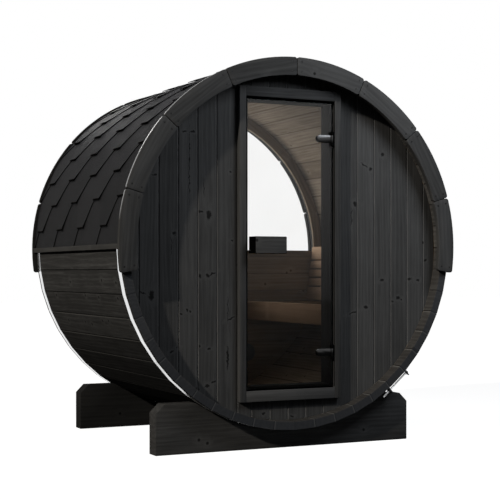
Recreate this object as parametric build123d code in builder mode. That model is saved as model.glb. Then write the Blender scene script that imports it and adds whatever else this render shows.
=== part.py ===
from build123d import *
import math
import os

os.makedirs("parts", exist_ok=True)

# Barrel sauna, millimetres. X across, Y from front to rear, Z up.
# The cradles stand on Z = 0, the barrel axis lies along Y at axis_height.
barrel_length = 1582.0
seat_gap = 0.3

# Coopered shell of bevelled staves
stave_count = 48
staves_per_sector = 6
stave_apothem = 1002.0
stave_thickness = 45.0
stave_joint_gap = 0.6
stave_edge_bevel = 2.5

# Segmented trim ring on both ends
fascia_overhang = 23.0
fascia_width = 100.0
fascia_thickness = 28.0
fascia_segments = 8
fascia_segment_angle = 24.6
fascia_joint_gap = 3.0
fascia_corner = 14.0

# Steel hoops with their screw tensioners, on the lower right
hoop_width = 45.0
hoop_thickness = 1.5
hoop_setback = 50.0
tensioner_angle = -48.25
tensioner_half_span = 70.0
lug_height = 46.0
lug_thickness = 5.0
rod_diameter = 10.0
rod_height = 30.0
rod_head_length = 14.0
rod_tail_length = 58.0
nut_across_flats = 19.0
nut_length = 9.0

# Shingle courses over the upper half, laid from both eaves to a ridge strip
roof_courses = 10
course_angle = 8.55
first_course_angle = 5.7
eaves_angle = 0.2
crown_angle = 90.0
course_steps = 3
shingle_lap_depth = 9.0
shingle_head_depth = 4.5
ridge_half_angle = 6.0
ridge_depth = 4.0
batten_height = 28.0
batten_thickness = 19.0
batten_top = 3.0

# End walls
wall_setback = 100.0
wall_thickness = 42.0

# Door frame, with a rebate for the glass leaf
frame_half_width = 313.5
wall_over_frame = 94.7
wall_under_frame = 110.7
frame_face = 39.5
frame_proud = 30.0
frame_depth = 128.0
head_height = 54.0
sill_height = 58.0
rebate_depth = 32.0
rebate_step = 18.5
threshold_rise = 23.0

# Glass leaf, hung on the right
leaf_free_gap = 11.5
leaf_hinge_gap = 10.0
leaf_top_gap = 13.0
leaf_bottom_gap = 12.0
leaf_thickness = 8.0
leaf_recess = 15.0

# Hinges
hinge_inset_top = 197.0
hinge_inset_bottom = 186.0
hinge_axis_inset = 15.0
hinge_axis_lead = 9.5
clamp_length = 96.0
clamp_height = 40.0
clamp_outer_thickness = 6.0
clamp_inner_thickness = 3.0
knuckle_radius = 6.5
fixed_knuckle_radius = 7.6
fixed_knuckle_length = 20.0
knuckle_gap = 0.3
hinge_plate_thickness = 3.0
hinge_plate_depth = 31.0
hinge_arm_thickness = 8.0

# Block handle through the glass
handle_inset = 11.0
handle_rise = 2.5
handle_width = 188.0
handle_height = 92.0
handle_depth = 84.0
handle_ease = 4.0
backplate_width = 110.0
backplate_height = 50.0
backplate_thickness = 12.0
backplate_ease = 3.0

# Half-moon window over a closed lower half in the rear wall
window_rail_height = 45.0
window_ring_width = 62.0
window_ring_segments = 4
window_ring_joint = 0.6
window_glass_thickness = 8.0

# Round vent under the bench, a cover on each face of the rear wall
vent_x = 385.0
vent_above_staves = 281.7
vent_radius = 60.0
vent_flange_depth = 5.0
vent_disc_radius = 46.0
vent_disc_depth = 12.0

# Bench and slatted backrest along the right side
bench_top = -335.0
bench_wall_gap = 15.0
bench_fascia_height = 120.0
bench_board_thickness = 28.0
bench_frame_clearance = 40.0
seat_board_width = 108.0
seat_board_gap = 10.0
bearer_thickness = 45.0
bearer_end_inset = 26.0
bearer_count = 3
backrest_standoff = 76.0
backrest_recline = 7.8
backrest_thickness = 20.0
backrest_top = 26.0
backrest_end_slat = 86.0
backrest_slat = 50.0
backrest_gap = 9.0
upright_thickness = 45.0
upright_end_inset = 146.0
upright_count = 2
upright_foot_gap = 12.0

# Cradles
cradle_length = 1559.0
cradle_bed = 105.0
cradle_rise = 164.0
cradle_thickness = 91.0
cradle_setback = 118.0
cradle_corner = 48.0

# Derived places
front_end = -barrel_length / 2
rear_end = barrel_length / 2
stave_front = front_end + fascia_thickness
stave_rear = rear_end - fascia_thickness
stave_length = stave_rear - stave_front
stave_angle = 360.0 / stave_count
stave_half_angle = stave_angle / 2
sector_angle = stave_angle * staves_per_sector
stave_inner = stave_apothem - stave_thickness
stave_corner = stave_apothem / math.cos(math.radians(stave_half_angle))
axis_height = cradle_bed + seat_gap + stave_corner
barrel_plane = Plane(origin=(0, 0, axis_height), x_dir=(1, 0, 0), z_dir=(0, -1, 0))
stave_slope_share = math.tan(math.radians(stave_half_angle))
stave_outer_half = stave_apothem * stave_slope_share - stave_joint_gap / 2
stave_inner_half = stave_inner * stave_slope_share - stave_joint_gap / 2
stave_bevel_half = (stave_apothem - stave_edge_bevel) * stave_slope_share - stave_joint_gap / 2
fascia_radius = stave_apothem + fascia_overhang
fascia_inner = fascia_radius - fascia_width
fascia_half_angle = fascia_segment_angle / 2 - math.degrees(fascia_joint_gap / 2 / fascia_radius)
fascia_start = crown_angle - fascia_segment_angle * (fascia_segments - 1) / 2
fascia_spread = fascia_segment_angle * fascia_segments
hoop_apothem = stave_apothem + hoop_thickness
hoop_corner = hoop_apothem / math.cos(math.radians(stave_half_angle))
roof_inner = hoop_corner + seat_gap
wall_radius = stave_inner - seat_gap
wall_front = front_end + wall_setback
wall_front_inside = wall_front + wall_thickness
wall_rear = rear_end - wall_setback
wall_rear_inside = wall_rear - wall_thickness
frame_top = wall_radius - wall_over_frame
frame_bottom = wall_under_frame - wall_radius
frame_front = wall_front - frame_proud
frame_rear = frame_front + frame_depth
rebate_half_width = frame_half_width - frame_face
rebate_rear = frame_front + rebate_depth
stop_half_width = rebate_half_width - rebate_step
leaf_left = leaf_free_gap - rebate_half_width
leaf_right = rebate_half_width - leaf_hinge_gap
leaf_top = frame_top - head_height - leaf_top_gap
leaf_bottom = frame_bottom + sill_height + leaf_bottom_gap
leaf_front = frame_front + leaf_recess
leaf_rear = leaf_front + leaf_thickness
hinge_heights = (leaf_top - hinge_inset_top, leaf_bottom + hinge_inset_bottom)
hinge_axis_x = rebate_half_width - hinge_axis_inset
hinge_axis_y = leaf_front - hinge_axis_lead
window_ring_inner = wall_radius - window_ring_width
inside_length = wall_rear_inside - wall_front_inside - 2 * seat_gap
cradle_height = cradle_bed + cradle_rise
cradle_top = cradle_height - axis_height


# Point of the barrel's cross-section at a radius and an angle from the right-hand side
def on_circle(radius, angle):
    return (radius * math.cos(math.radians(angle)), radius * math.sin(math.radians(angle)))


# Section of one stave, its width square to the radius
with BuildSketch() as stave_section:
    Polygon(
        (stave_inner, -stave_inner_half),
        (stave_apothem - stave_edge_bevel, -stave_bevel_half),
        (stave_apothem, -stave_outer_half + stave_edge_bevel),
        (stave_apothem, stave_outer_half - stave_edge_bevel),
        (stave_apothem - stave_edge_bevel, stave_bevel_half),
        (stave_inner, stave_inner_half),
        align=None,
    )

# Section of one trim segment, corners rounded
with BuildSketch() as fascia_section:
    with BuildLine():
        fascia_outer_arc = CenterArc((0, 0), fascia_radius, -fascia_half_angle, 2 * fascia_half_angle)
        fascia_inner_arc = CenterArc((0, 0), fascia_inner, -fascia_half_angle, 2 * fascia_half_angle)
        Line(fascia_outer_arc @ 0, fascia_inner_arc @ 0)
        Line(fascia_outer_arc @ 1, fascia_inner_arc @ 1)
    make_face()
    fillet(fascia_section.vertices(), fascia_corner)

# Stepped section of the shingle courses from the right-hand eaves to the crown
course_starts = [eaves_angle]
for course in range(roof_courses):
    course_starts.append(first_course_angle + course * course_angle)
course_ends = course_starts[1:] + [crown_angle]
roof_points = []
for low, high in zip(course_starts, course_ends):
    for step in range(course_steps + 1):
        rise_share = step / course_steps
        depth = shingle_lap_depth + (shingle_head_depth - shingle_lap_depth) * rise_share
        roof_points.append(on_circle(roof_inner + depth, low + (high - low) * rise_share))
inner_steps = len(course_starts) * course_steps
for step in range(inner_steps + 1):
    fall_share = 1 - step / inner_steps
    roof_points.append(on_circle(roof_inner, eaves_angle + (crown_angle - eaves_angle) * fall_share))
with BuildSketch() as roof_section:
    with BuildLine():
        Polyline(*roof_points, close=True)
    make_face()

# Staves, eight sectors of the shell counted from the right-hand side upwards
with BuildPart() as staves_right_upper:
    with BuildSketch(barrel_plane.offset(-stave_rear)):
        with PolarLocations(0, staves_per_sector, stave_half_angle, sector_angle):
            add(stave_section.sketch)
    extrude(amount=stave_length)

with BuildPart() as staves_crown_right:
    with BuildSketch(barrel_plane.offset(-stave_rear)):
        with PolarLocations(0, staves_per_sector, stave_half_angle + sector_angle, sector_angle):
            add(stave_section.sketch)
    extrude(amount=stave_length)

with BuildPart() as staves_crown_left:
    with BuildSketch(barrel_plane.offset(-stave_rear)):
        with PolarLocations(0, staves_per_sector, stave_half_angle + 2 * sector_angle, sector_angle):
            add(stave_section.sketch)
    extrude(amount=stave_length)

with BuildPart() as staves_left_upper:
    with BuildSketch(barrel_plane.offset(-stave_rear)):
        with PolarLocations(0, staves_per_sector, stave_half_angle + 3 * sector_angle, sector_angle):
            add(stave_section.sketch)
    extrude(amount=stave_length)

with BuildPart() as staves_left_lower:
    with BuildSketch(barrel_plane.offset(-stave_rear)):
        with PolarLocations(0, staves_per_sector, stave_half_angle + 4 * sector_angle, sector_angle):
            add(stave_section.sketch)
    extrude(amount=stave_length)

with BuildPart() as staves_floor_left:
    with BuildSketch(barrel_plane.offset(-stave_rear)):
        with PolarLocations(0, staves_per_sector, stave_half_angle + 5 * sector_angle, sector_angle):
            add(stave_section.sketch)
    extrude(amount=stave_length)

with BuildPart() as staves_floor_right:
    with BuildSketch(barrel_plane.offset(-stave_rear)):
        with PolarLocations(0, staves_per_sector, stave_half_angle + 6 * sector_angle, sector_angle):
            add(stave_section.sketch)
    extrude(amount=stave_length)

with BuildPart() as staves_right_lower:
    with BuildSketch(barrel_plane.offset(-stave_rear)):
        with PolarLocations(0, staves_per_sector, stave_half_angle + 7 * sector_angle, sector_angle):
            add(stave_section.sketch)
    extrude(amount=stave_length)

# Trim rings against the stave ends
with BuildPart() as front_fascia:
    with BuildSketch(barrel_plane.offset(-stave_front)):
        with PolarLocations(0, fascia_segments, fascia_start, fascia_spread):
            add(fascia_section.sketch)
    extrude(amount=fascia_thickness)

with BuildPart() as rear_fascia:
    with BuildSketch(barrel_plane.offset(-rear_end)):
        with PolarLocations(0, fascia_segments, fascia_start, fascia_spread):
            add(fascia_section.sketch)
    extrude(amount=fascia_thickness)

# Hoops, open between the lugs of the tensioner
hoop_gap_half_angle = math.degrees((tensioner_half_span + lug_thickness + seat_gap) / hoop_apothem)
hoop_gap_reach = 2 * fascia_radius
hoop_front = front_end + hoop_setback
hoop_rear = rear_end - hoop_setback - hoop_width
with BuildSketch() as hoop_section:
    RegularPolygon(hoop_apothem, stave_count, major_radius=False)
    RegularPolygon(stave_apothem, stave_count, major_radius=False, mode=Mode.SUBTRACT)
    Polygon(
        (0, 0),
        on_circle(hoop_gap_reach, tensioner_angle - hoop_gap_half_angle),
        on_circle(hoop_gap_reach, tensioner_angle + hoop_gap_half_angle),
        align=None,
        mode=Mode.SUBTRACT,
    )

with BuildPart() as front_hoop:
    with BuildSketch(barrel_plane.offset(-hoop_front - hoop_width)):
        add(hoop_section.sketch)
    extrude(amount=hoop_width)

with BuildPart() as rear_hoop:
    with BuildSketch(barrel_plane.offset(-hoop_rear - hoop_width)):
        add(hoop_section.sketch)
    extrude(amount=hoop_width)

# Tensioners: a lug on each hoop end, a threaded rod with its head and nut through both
rod_radius_place = hoop_apothem + rod_height
rod_x, rod_z = on_circle(rod_radius_place, tensioner_angle)
radial_x, radial_z = on_circle(1, tensioner_angle)
lug_foot = math.sqrt(stave_corner**2 - tensioner_half_span**2)
lug_middle = lug_foot + lug_height / 2 - rod_radius_place
rod_start = -tensioner_half_span - lug_thickness - rod_head_length
rod_end = tensioner_half_span + rod_tail_length
front_rod_plane = Plane(
    origin=(rod_x, hoop_front + hoop_width / 2, axis_height + rod_z),
    x_dir=(radial_x, 0, radial_z),
    z_dir=(radial_z, 0, -radial_x),
)
rear_rod_plane = Plane(
    origin=(rod_x, hoop_rear + hoop_width / 2, axis_height + rod_z),
    x_dir=(radial_x, 0, radial_z),
    z_dir=(radial_z, 0, -radial_x),
)

with BuildPart() as front_tensioner:
    with BuildSketch(
        front_rod_plane.offset(-tensioner_half_span - lug_thickness),
        front_rod_plane.offset(tensioner_half_span),
    ):
        with Locations((lug_middle, 0)):
            Rectangle(lug_height, hoop_width)
    extrude(amount=lug_thickness)
    with BuildSketch(front_rod_plane.offset(rod_start)):
        Circle(rod_diameter / 2)
    extrude(amount=rod_end - rod_start)
    with BuildSketch(
        front_rod_plane.offset(-tensioner_half_span - lug_thickness - nut_length),
        front_rod_plane.offset(tensioner_half_span + lug_thickness),
    ):
        RegularPolygon(nut_across_flats / 2, 6, major_radius=False)
    extrude(amount=nut_length)

with BuildPart() as rear_tensioner:
    with BuildSketch(
        rear_rod_plane.offset(-tensioner_half_span - lug_thickness),
        rear_rod_plane.offset(tensioner_half_span),
    ):
        with Locations((lug_middle, 0)):
            Rectangle(lug_height, hoop_width)
    extrude(amount=lug_thickness)
    with BuildSketch(rear_rod_plane.offset(rod_start)):
        Circle(rod_diameter / 2)
    extrude(amount=rod_end - rod_start)
    with BuildSketch(
        rear_rod_plane.offset(-tensioner_half_span - lug_thickness - nut_length),
        rear_rod_plane.offset(tensioner_half_span + lug_thickness),
    ):
        RegularPolygon(nut_across_flats / 2, 6, major_radius=False)
    extrude(amount=nut_length)

# Roof covering: both slopes and the strip over the crown
with BuildPart() as roof_shingles_right:
    with BuildSketch(barrel_plane.offset(-stave_rear)):
        add(roof_section.sketch)
    extrude(amount=stave_length)

with BuildPart() as roof_shingles_left:
    with BuildSketch(barrel_plane.offset(-stave_rear)):
        add(mirror(roof_section.sketch, about=Plane.YZ, mode=Mode.PRIVATE))
    extrude(amount=stave_length)

ridge_inner = roof_inner + shingle_lap_depth
with BuildPart() as roof_ridge:
    with BuildSketch(barrel_plane.offset(-stave_rear)):
        with BuildLine():
            ridge_under = CenterArc((0, 0), ridge_inner, crown_angle - ridge_half_angle, 2 * ridge_half_angle)
            ridge_over = CenterArc(
                (0, 0), ridge_inner + ridge_depth, crown_angle - ridge_half_angle, 2 * ridge_half_angle
            )
            Line(ridge_under @ 0, ridge_over @ 0)
            Line(ridge_under @ 1, ridge_over @ 1)
        make_face()
    extrude(amount=stave_length)

# Battens under the lowest shingles
batten_x = hoop_corner + batten_thickness / 2
batten_z = batten_top - batten_height / 2
with BuildPart() as eaves_batten_left:
    with BuildSketch(barrel_plane.offset(-stave_rear)):
        with Locations((-batten_x, batten_z)):
            Rectangle(batten_thickness, batten_height)
    extrude(amount=stave_length)

with BuildPart() as eaves_batten_right:
    with BuildSketch(barrel_plane.offset(-stave_rear)):
        with Locations((batten_x, batten_z)):
            Rectangle(batten_thickness, batten_height)
    extrude(amount=stave_length)

# Front wall in four pieces round the door frame
wall_side_width = wall_radius - frame_half_width
wall_side_x = frame_half_width + wall_side_width / 2
wall_top_height = wall_radius - frame_top
wall_foot_height = wall_radius + frame_bottom
with BuildPart() as front_wall_left:
    with BuildSketch(barrel_plane.offset(-wall_front_inside)):
        Circle(wall_radius)
        with Locations((-wall_side_x, 0)):
            Rectangle(wall_side_width, 2 * wall_radius, mode=Mode.INTERSECT)
    extrude(amount=wall_thickness)

with BuildPart() as front_wall_right:
    with BuildSketch(barrel_plane.offset(-wall_front_inside)):
        Circle(wall_radius)
        with Locations((wall_side_x, 0)):
            Rectangle(wall_side_width, 2 * wall_radius, mode=Mode.INTERSECT)
    extrude(amount=wall_thickness)

with BuildPart() as front_wall_over_door:
    with BuildSketch(barrel_plane.offset(-wall_front_inside)):
        Circle(wall_radius)
        with Locations((0, frame_top + wall_top_height / 2)):
            Rectangle(2 * frame_half_width, wall_top_height, mode=Mode.INTERSECT)
    extrude(amount=wall_thickness)

with BuildPart() as front_wall_under_door:
    with BuildSketch(barrel_plane.offset(-wall_front_inside)):
        Circle(wall_radius)
        with Locations((0, frame_bottom - wall_foot_height / 2)):
            Rectangle(2 * frame_half_width, wall_foot_height, mode=Mode.INTERSECT)
    extrude(amount=wall_thickness)

# Door frame: rebated jambs, head and sill between them
frame_base_plane = Plane.XY.offset(axis_height + frame_bottom)
frame_height = frame_top - frame_bottom
with BuildPart() as door_jamb_left:
    with BuildSketch(frame_base_plane):
        Polygon(
            (-frame_half_width, frame_front),
            (-rebate_half_width, frame_front),
            (-rebate_half_width, rebate_rear),
            (-stop_half_width, rebate_rear),
            (-stop_half_width, frame_rear),
            (-frame_half_width, frame_rear),
            align=None,
        )
    extrude(amount=frame_height)

with BuildPart() as door_jamb_right:
    with BuildSketch(frame_base_plane):
        Polygon(
            (frame_half_width, frame_front),
            (rebate_half_width, frame_front),
            (rebate_half_width, rebate_rear),
            (stop_half_width, rebate_rear),
            (stop_half_width, frame_rear),
            (frame_half_width, frame_rear),
            align=None,
        )
    extrude(amount=frame_height)

head_stop_height = head_height + rebate_step
with BuildPart() as door_head:
    with BuildSketch(barrel_plane.offset(-rebate_rear)):
        with Locations((0, frame_top - head_height / 2)):
            Rectangle(2 * rebate_half_width, head_height)
    extrude(amount=rebate_depth)
    with BuildSketch(barrel_plane.offset(-frame_rear)):
        with Locations((0, frame_top - head_stop_height / 2)):
            Rectangle(2 * stop_half_width, head_stop_height)
    extrude(amount=frame_depth - rebate_depth)

sill_stop_height = sill_height + threshold_rise
with BuildPart() as door_sill:
    with BuildSketch(barrel_plane.offset(-rebate_rear)):
        with Locations((0, frame_bottom + sill_height / 2)):
            Rectangle(2 * rebate_half_width, sill_height)
    extrude(amount=rebate_depth)
    with BuildSketch(barrel_plane.offset(-frame_rear)):
        with Locations((0, frame_bottom + sill_stop_height / 2)):
            Rectangle(2 * stop_half_width, sill_stop_height)
    extrude(amount=frame_depth - rebate_depth)

# Fixed hinge halves in the right-hand rebate: a plate with an arm and a knuckle above and below the leaf's
hinge_plate_height = clamp_height + 2 * knuckle_gap + 2 * fixed_knuckle_length
hinge_plate_x = rebate_half_width - hinge_plate_thickness / 2
hinge_plate_y = rebate_rear - hinge_plate_depth / 2
knuckle_levels = [axis_height + level + clamp_height / 2 + knuckle_gap for level in hinge_heights]
knuckle_levels += [axis_height + level - hinge_plate_height / 2 for level in hinge_heights]
with BuildPart() as hinge_plates:
    with BuildSketch(*[Plane.XY.offset(axis_height + z - hinge_plate_height / 2) for z in hinge_heights]):
        with Locations((hinge_plate_x, hinge_plate_y)):
            Rectangle(hinge_plate_thickness, hinge_plate_depth)
    extrude(amount=hinge_plate_height)
    with BuildSketch(*[Plane.XY.offset(level) for level in knuckle_levels]):
        with Locations((hinge_axis_x, hinge_axis_y)):
            Circle(fixed_knuckle_radius)
            Rectangle(hinge_axis_inset, hinge_arm_thickness, align=(Align.MIN, Align.CENTER))
    extrude(amount=fixed_knuckle_length)

# Glass leaf
leaf_width = leaf_right - leaf_left
leaf_height = leaf_top - leaf_bottom
with BuildPart() as door_glass:
    with BuildSketch(barrel_plane.offset(-leaf_rear)):
        with Locations((leaf_left + leaf_width / 2, leaf_bottom + leaf_height / 2)):
            Rectangle(leaf_width, leaf_height)
    extrude(amount=leaf_thickness)

# Clamps round the hinge edge of the glass, their free end rounded
clamp_round = clamp_height / 2
clamp_centre = hinge_axis_x - clamp_length + clamp_round
clamp_end = leaf_right + seat_gap + clamp_inner_thickness
with BuildPart() as hinge_clamps:
    with BuildSketch(barrel_plane.offset(-leaf_front)):
        for level in hinge_heights:
            with Locations((clamp_centre, level)):
                Circle(clamp_round)
                Rectangle(clamp_end - clamp_centre, clamp_height, align=(Align.MIN, Align.CENTER))
    extrude(amount=clamp_outer_thickness)
    with BuildSketch(barrel_plane.offset(-leaf_rear - clamp_inner_thickness)):
        for level in hinge_heights:
            with Locations((clamp_centre, level)):
                Circle(clamp_round)
                Rectangle(clamp_end - clamp_centre, clamp_height, align=(Align.MIN, Align.CENTER))
    extrude(amount=clamp_inner_thickness)
    with BuildSketch(barrel_plane.offset(-leaf_rear)):
        for level in hinge_heights:
            with Locations((clamp_end, level)):
                Rectangle(clamp_inner_thickness, clamp_height, align=(Align.MAX, Align.CENTER))
    extrude(amount=leaf_thickness)
    with BuildSketch(*[Plane.XY.offset(axis_height + level - clamp_round) for level in hinge_heights]):
        with Locations((hinge_axis_x, hinge_axis_y)):
            Circle(knuckle_radius)
    extrude(amount=clamp_height)

# Block handle outside and its backing plate inside
handle_x = leaf_left + handle_inset + handle_width / 2
with BuildPart() as door_handle:
    with BuildSketch(barrel_plane.offset(-leaf_front)):
        with Locations((handle_x, handle_rise)):
            Rectangle(handle_width, handle_height)
    extrude(amount=handle_depth)
    fillet(door_handle.edges().filter_by(Axis.Y), handle_ease)
    chamfer(door_handle.faces().sort_by(Axis.Y)[0].edges(), handle_ease / 2)

with BuildPart() as handle_backplate:
    with BuildSketch(barrel_plane.offset(-leaf_rear - backplate_thickness)):
        with Locations((handle_x, handle_rise)):
            Rectangle(backplate_width, backplate_height)
    extrude(amount=backplate_thickness)
    fillet(handle_backplate.edges().filter_by(Axis.Y), backplate_ease)

# Rear wall: closed lower half, rail, arched ring and half-moon glass
rear_lower_height = wall_radius - window_rail_height
with BuildPart() as rear_wall_lower:
    with BuildSketch(barrel_plane.offset(-wall_rear)):
        Circle(wall_radius)
        with Locations((0, -window_rail_height - rear_lower_height / 2)):
            Rectangle(2 * wall_radius, rear_lower_height, mode=Mode.INTERSECT)
    extrude(amount=wall_thickness)

with BuildPart() as rear_window_rail:
    with BuildSketch(barrel_plane.offset(-wall_rear)):
        Circle(wall_radius)
        with Locations((0, -window_rail_height / 2)):
            Rectangle(2 * wall_radius, window_rail_height, mode=Mode.INTERSECT)
    extrude(amount=wall_thickness)

window_segment_angle = 180.0 / window_ring_segments
window_segment_half = window_segment_angle / 2 - math.degrees(window_ring_joint / wall_radius)
with BuildPart() as rear_window_ring:
    with BuildSketch(barrel_plane.offset(-wall_rear)):
        with PolarLocations(0, window_ring_segments, window_segment_angle / 2, 180.0):
            with BuildLine(mode=Mode.PRIVATE) as window_ring_outline:
                window_outer_arc = CenterArc((0, 0), wall_radius, -window_segment_half, 2 * window_segment_half)
                window_inner_arc = CenterArc(
                    (0, 0), window_ring_inner, -window_segment_half, 2 * window_segment_half
                )
                Line(window_outer_arc @ 0, window_inner_arc @ 0)
                Line(window_outer_arc @ 1, window_inner_arc @ 1)
            add(make_face(window_ring_outline.line, mode=Mode.PRIVATE))
    extrude(amount=wall_thickness)

window_glass_rear = wall_rear - (wall_thickness - window_glass_thickness) / 2
window_glass_radius = window_ring_inner - seat_gap
with BuildPart() as rear_window_glass:
    with BuildSketch(barrel_plane.offset(-window_glass_rear)):
        Circle(window_glass_radius)
        with Locations((0, seat_gap + window_glass_radius / 2)):
            Rectangle(2 * window_glass_radius, window_glass_radius, mode=Mode.INTERSECT)
    extrude(amount=window_glass_thickness)

# Vent covers on the inside and the outside
vent_z = vent_above_staves - wall_radius
with BuildPart() as vent_inside:
    with BuildSketch(barrel_plane.offset(-wall_rear_inside)):
        with Locations((vent_x, vent_z)):
            Circle(vent_radius)
    extrude(amount=vent_flange_depth)
    with BuildSketch(barrel_plane.offset(-wall_rear_inside)):
        with Locations((vent_x, vent_z)):
            Circle(vent_disc_radius)
    extrude(amount=vent_disc_depth)

with BuildPart() as vent_outside:
    with BuildSketch(barrel_plane.offset(-wall_rear)):
        with Locations((vent_x, vent_z)):
            Circle(vent_radius)
    extrude(amount=-vent_flange_depth)
    with BuildSketch(barrel_plane.offset(-wall_rear)):
        with Locations((vent_x, vent_z)):
            Circle(vent_disc_radius)
    extrude(amount=-vent_disc_depth)

# Bench: front board, seat boards, bearers let into the curve of the staves
bench_rear = wall_rear_inside - seat_gap
seat_under = bench_top - bench_board_thickness
seat_end = math.sqrt(wall_radius**2 - seat_under**2) - bench_wall_gap
# as many seat boards as fit between the door frame and the staves
seat_depth = seat_end - frame_half_width - bench_frame_clearance - bench_board_thickness - seat_gap
seat_boards = math.floor((seat_depth + seat_board_gap) / (seat_board_width + seat_board_gap))
seat_start = seat_end - seat_boards * (seat_board_width + seat_board_gap) + seat_board_gap - seat_gap
bench_front = seat_start - bench_board_thickness
bearer_spacing = (inside_length - bearer_thickness - 2 * bearer_end_inset) / (bearer_count - 1)
bearer_height = bench_fascia_height - bench_board_thickness
bearer_width = wall_radius - seat_start
with BuildPart() as bench_fascia:
    with BuildSketch(barrel_plane.offset(-bench_rear)):
        with Locations((bench_front + bench_board_thickness / 2, bench_top - bench_fascia_height / 2)):
            Rectangle(bench_board_thickness, bench_fascia_height)
    extrude(amount=inside_length)

with BuildPart() as bench_seat:
    with BuildSketch(barrel_plane.offset(-bench_rear)):
        for board in range(seat_boards):
            board_x = seat_start + seat_gap + board * (seat_board_width + seat_board_gap)
            with Locations((board_x + seat_board_width / 2, bench_top - bench_board_thickness / 2)):
                Rectangle(seat_board_width, bench_board_thickness)
    extrude(amount=inside_length)

with BuildPart() as bench_bearers:
    with BuildSketch(
        *[
            barrel_plane.offset((index - (bearer_count - 1) / 2) * bearer_spacing - bearer_thickness / 2)
            for index in range(bearer_count)
        ]
    ):
        Circle(wall_radius)
        with Locations((seat_start + bearer_width / 2, seat_under - bearer_height / 2)):
            Rectangle(bearer_width, bearer_height, mode=Mode.INTERSECT)
    extrude(amount=bearer_thickness)

# Reclined backrest: slats on uprights shaped to the staves
backrest_widths = (backrest_end_slat, backrest_slat, backrest_slat, backrest_slat, backrest_end_slat)
backrest_height = sum(backrest_widths) + backrest_gap * (len(backrest_widths) - 1)
backrest_front = math.sqrt(wall_radius**2 - backrest_top**2) - backrest_standoff
backrest_place = Location((backrest_front, backrest_top, 0), (0, 0, -backrest_recline))
slat_drops = [0]
for width in backrest_widths[:-1]:
    slat_drops.append(slat_drops[-1] + width + backrest_gap)
with BuildPart() as backrest_slats:
    with BuildSketch(barrel_plane.offset(-bench_rear)):
        with Locations(backrest_place):
            for drop, width in zip(slat_drops, backrest_widths):
                with Locations((0, -drop)):
                    Rectangle(backrest_thickness, width, align=(Align.MIN, Align.MAX))
    extrude(amount=inside_length)

upright_width = wall_radius - backrest_front
upright_height = backrest_height - upright_foot_gap
upright_spacing = (inside_length - upright_thickness - 2 * upright_end_inset) / (upright_count - 1)
with BuildPart() as backrest_uprights:
    with BuildSketch(
        *[
            barrel_plane.offset((index - (upright_count - 1) / 2) * upright_spacing - upright_thickness / 2)
            for index in range(upright_count)
        ]
    ):
        Circle(wall_radius)
        with Locations(backrest_place):
            with Locations((backrest_thickness, 0)):
                Rectangle(
                    upright_width, upright_height, align=(Align.MIN, Align.MAX), mode=Mode.INTERSECT
                )
    extrude(amount=upright_thickness)

# Cradles hollowed to the barrel
with BuildSketch() as cradle_section:
    with Locations((0, cradle_top - cradle_height / 2)):
        Rectangle(cradle_length, cradle_height)
    chamfer(cradle_section.vertices().group_by(Axis.Y)[-1], cradle_corner)
    Circle(stave_corner + seat_gap, mode=Mode.SUBTRACT)

with BuildPart() as front_cradle:
    with BuildSketch(barrel_plane.offset(-front_end - cradle_setback - cradle_thickness)):
        add(cradle_section.sketch)
    extrude(amount=cradle_thickness)

with BuildPart() as rear_cradle:
    with BuildSketch(barrel_plane.offset(-rear_end + cradle_setback)):
        add(cradle_section.sketch)
    extrude(amount=cradle_thickness)

staves_right_upper.part.label = "staves_right_upper"
export_step(staves_right_upper.part, "parts/staves_right_upper.step")
staves_crown_right.part.label = "staves_crown_right"
export_step(staves_crown_right.part, "parts/staves_crown_right.step")
staves_crown_left.part.label = "staves_crown_left"
export_step(staves_crown_left.part, "parts/staves_crown_left.step")
staves_left_upper.part.label = "staves_left_upper"
export_step(staves_left_upper.part, "parts/staves_left_upper.step")
staves_left_lower.part.label = "staves_left_lower"
export_step(staves_left_lower.part, "parts/staves_left_lower.step")
staves_floor_left.part.label = "staves_floor_left"
export_step(staves_floor_left.part, "parts/staves_floor_left.step")
staves_floor_right.part.label = "staves_floor_right"
export_step(staves_floor_right.part, "parts/staves_floor_right.step")
staves_right_lower.part.label = "staves_right_lower"
export_step(staves_right_lower.part, "parts/staves_right_lower.step")
front_fascia.part.label = "front_fascia"
export_step(front_fascia.part, "parts/front_fascia.step")
rear_fascia.part.label = "rear_fascia"
export_step(rear_fascia.part, "parts/rear_fascia.step")
front_hoop.part.label = "front_hoop"
export_step(front_hoop.part, "parts/front_hoop.step")
rear_hoop.part.label = "rear_hoop"
export_step(rear_hoop.part, "parts/rear_hoop.step")
front_tensioner.part.label = "front_tensioner"
export_step(front_tensioner.part, "parts/front_tensioner.step")
rear_tensioner.part.label = "rear_tensioner"
export_step(rear_tensioner.part, "parts/rear_tensioner.step")
roof_shingles_right.part.label = "roof_shingles_right"
export_step(roof_shingles_right.part, "parts/roof_shingles_right.step")
roof_shingles_left.part.label = "roof_shingles_left"
export_step(roof_shingles_left.part, "parts/roof_shingles_left.step")
roof_ridge.part.label = "roof_ridge"
export_step(roof_ridge.part, "parts/roof_ridge.step")
eaves_batten_left.part.label = "eaves_batten_left"
export_step(eaves_batten_left.part, "parts/eaves_batten_left.step")
eaves_batten_right.part.label = "eaves_batten_right"
export_step(eaves_batten_right.part, "parts/eaves_batten_right.step")
front_wall_left.part.label = "front_wall_left"
export_step(front_wall_left.part, "parts/front_wall_left.step")
front_wall_right.part.label = "front_wall_right"
export_step(front_wall_right.part, "parts/front_wall_right.step")
front_wall_over_door.part.label = "front_wall_over_door"
export_step(front_wall_over_door.part, "parts/front_wall_over_door.step")
front_wall_under_door.part.label = "front_wall_under_door"
export_step(front_wall_under_door.part, "parts/front_wall_under_door.step")
door_jamb_left.part.label = "door_jamb_left"
export_step(door_jamb_left.part, "parts/door_jamb_left.step")
door_jamb_right.part.label = "door_jamb_right"
export_step(door_jamb_right.part, "parts/door_jamb_right.step")
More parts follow.
